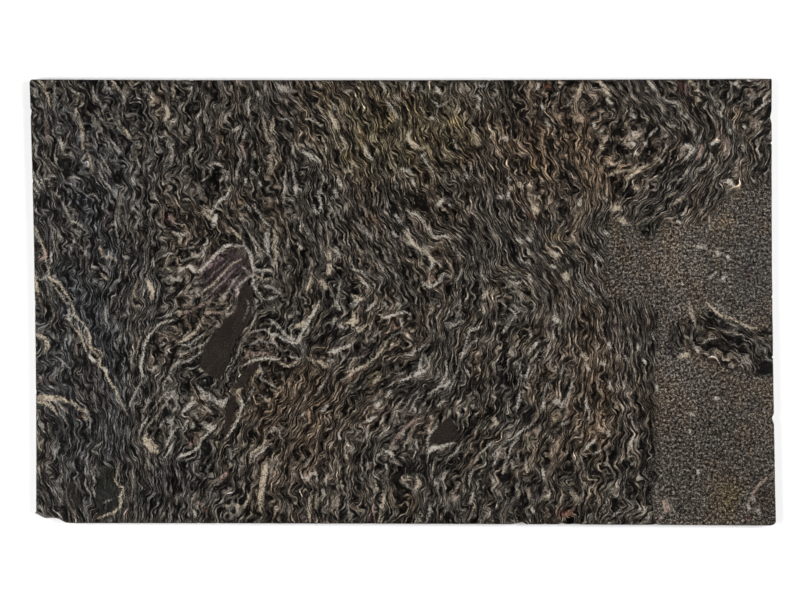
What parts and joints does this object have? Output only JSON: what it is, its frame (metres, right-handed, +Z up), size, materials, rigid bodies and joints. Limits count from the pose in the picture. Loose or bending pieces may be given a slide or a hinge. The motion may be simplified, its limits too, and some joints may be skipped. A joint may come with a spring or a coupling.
{
  "type": "granite slab",
  "caption": "Rectangular sawn slab of dark folded granite, polished on its upper face, with rough side edges and a broken corner.",
  "frame": {"origin": "middle of the slab's bounding box, on the sawn back that it lies on", "axes": "+X along the slab's length, +Y across its width towards the edge that is uppermost in the picture, +Z up out of the polished face"},
  "size_m": [3.0216, 1.809, 0.03],
  "materials": {
    "granite": "low polish on the face, rough on the sides and the sawn back"
  },
  "bodies": {
    "root": {"granite_slab": "granite"}
  },
  "joints": []
}
